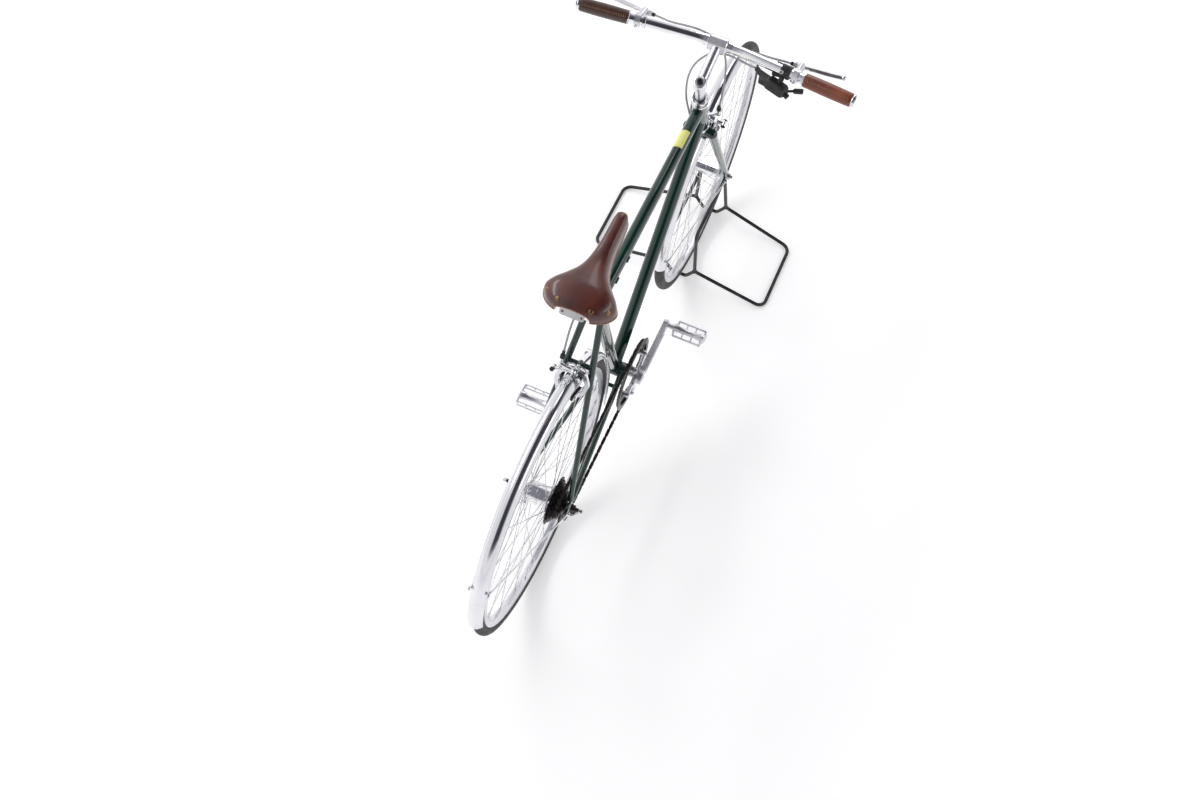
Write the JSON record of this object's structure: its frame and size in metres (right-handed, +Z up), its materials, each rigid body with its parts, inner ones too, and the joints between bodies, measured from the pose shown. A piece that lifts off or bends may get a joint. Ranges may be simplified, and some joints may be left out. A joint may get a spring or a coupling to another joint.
{
  "type": "city bicycle",
  "caption": "City bicycle with a diamond frame, flat bar, leather saddle, mudguards and derailleur gears, its front wheel held in a wire floor stand.",
  "frame": {"origin": "on the floor under the middle of the whole length and width", "axes": "+X forward along the bicycle, +Y to the rider's left, +Z up"},
  "size_m": [1.7528, 0.66, 0.9784],
  "materials": {
    "frame_paint": "gloss dark green",
    "polished_alloy": "polished",
    "chrome": "mirror",
    "bright_steel": "satin",
    "tyre_rubber": "matt",
    "brown_leather": "waxed",
    "black_finish": "satin black",
    "pad_rubber": "matt",
    "cable_sleeve": "grey sleeve",
    "chain_steel": "oiled dark"
  },
  "bodies": {
    "fork_and_stand": {"fork": "frame_paint", "stem": "polished_alloy", "headset_locknut": "chrome", "handlebar": "polished_alloy", "grip_left": "brown_leather", "grip_right": "brown_leather", "bar_end_caps": "chrome", "brake_lever_left": "polished_alloy", "brake_lever_right": "polished_alloy", "gear_shifter": "black_finish", "front_brake": "polished_alloy", "front_brake_pads": "pad_rubber", "front_mudguard": "polished_alloy", "front_mudguard_stays": "chrome", "front_brake_cable": "cable_sleeve", "front_axle": "chrome", "stand_loop_left": "black_finish", "stand_loop_right": "black_finish", "stand_crossbars": "black_finish"},
    "frame": {"head_tube": "frame_paint", "top_tube": "frame_paint", "down_tube": "frame_paint", "seat_tube": "frame_paint", "bottom_bracket_shell": "frame_paint", "chainstays": "frame_paint", "seatstays": "frame_paint", "headset": "chrome", "rear_axle": "chrome", "rear_brake": "polished_alloy", "rear_brake_pads": "pad_rubber", "rear_mudguard": "polished_alloy", "rear_mudguard_stays": "chrome", "chain": "chain_steel", "rear_derailleur": "polished_alloy", "saddle_leather": "brown_leather", "saddle_rails": "chrome", "seatpost": "polished_alloy", "seat_clamp": "polished_alloy", "rear_brake_cable_loop": "cable_sleeve", "gear_cable_loop": "cable_sleeve", "rear_brake_cable": "cable_sleeve"},
    "front_wheel": {"front_tyre": "tyre_rubber", "front_rim": "polished_alloy", "front_spokes": "bright_steel", "front_hub": "polished_alloy"},
    "rear_wheel": {"rear_tyre": "tyre_rubber", "rear_rim": "polished_alloy", "rear_spokes": "bright_steel", "rear_hub": "polished_alloy"},
    "cogs": {"cassette": "black_finish"},
    "cranks": {"crank_spindle": "bright_steel", "crank_right": "polished_alloy", "crank_left": "polished_alloy", "chainring": "black_finish", "chain_guard_ring": "black_finish"},
    "right_pedal": {"pedal_right": "chrome"},
    "left_pedal": {"pedal_left": "chrome"}
  },
  "joints": [
    {"name": "front_wheel_spin", "type": "hinge", "parent": "fork_and_stand", "child": "front_wheel", "pos_m": [0.531, 0, 0.346], "axis": [0, 1, 0], "continuous": true},
    {"name": "steering", "type": "hinge", "parent": "fork_and_stand", "child": "frame", "pos_m": [0.48345, 0, 0.33055], "axis": [-0.309, 0, 0.9511], "range_deg": [-60, 60], "deforming": ["rear_brake_cable_loop", "gear_cable_loop"]},
    {"name": "rear_wheel_spin", "type": "hinge", "parent": "frame", "child": "rear_wheel", "pos_m": [-0.519, 0, 0.346], "axis": [0, 1, 0], "continuous": true},
    {"name": "crank_spin", "type": "hinge", "parent": "frame", "child": "cranks", "pos_m": [-0.0971, 0, 0.274], "axis": [0, 1, 0], "continuous": true},
    {"name": "cog_spin", "type": "hinge", "parent": "frame", "child": "cogs", "pos_m": [-0.519, 0, 0.346], "axis": [0, 1, 0], "continuous": true},
    {"name": "right_pedal_spin", "type": "hinge", "parent": "cranks", "child": "right_pedal", "pos_m": [0.0729, -0.13, 0.274], "axis": [0, 1, 0], "continuous": true},
    {"name": "left_pedal_spin", "type": "hinge", "parent": "cranks", "child": "left_pedal", "pos_m": [-0.2671, 0.13, 0.274], "axis": [0, 1, 0], "continuous": true}
  ],
  "couplings": [
    {"joint": "cog_spin", "follows": "crank_spin", "ratio": 2.5882}
  ]
}
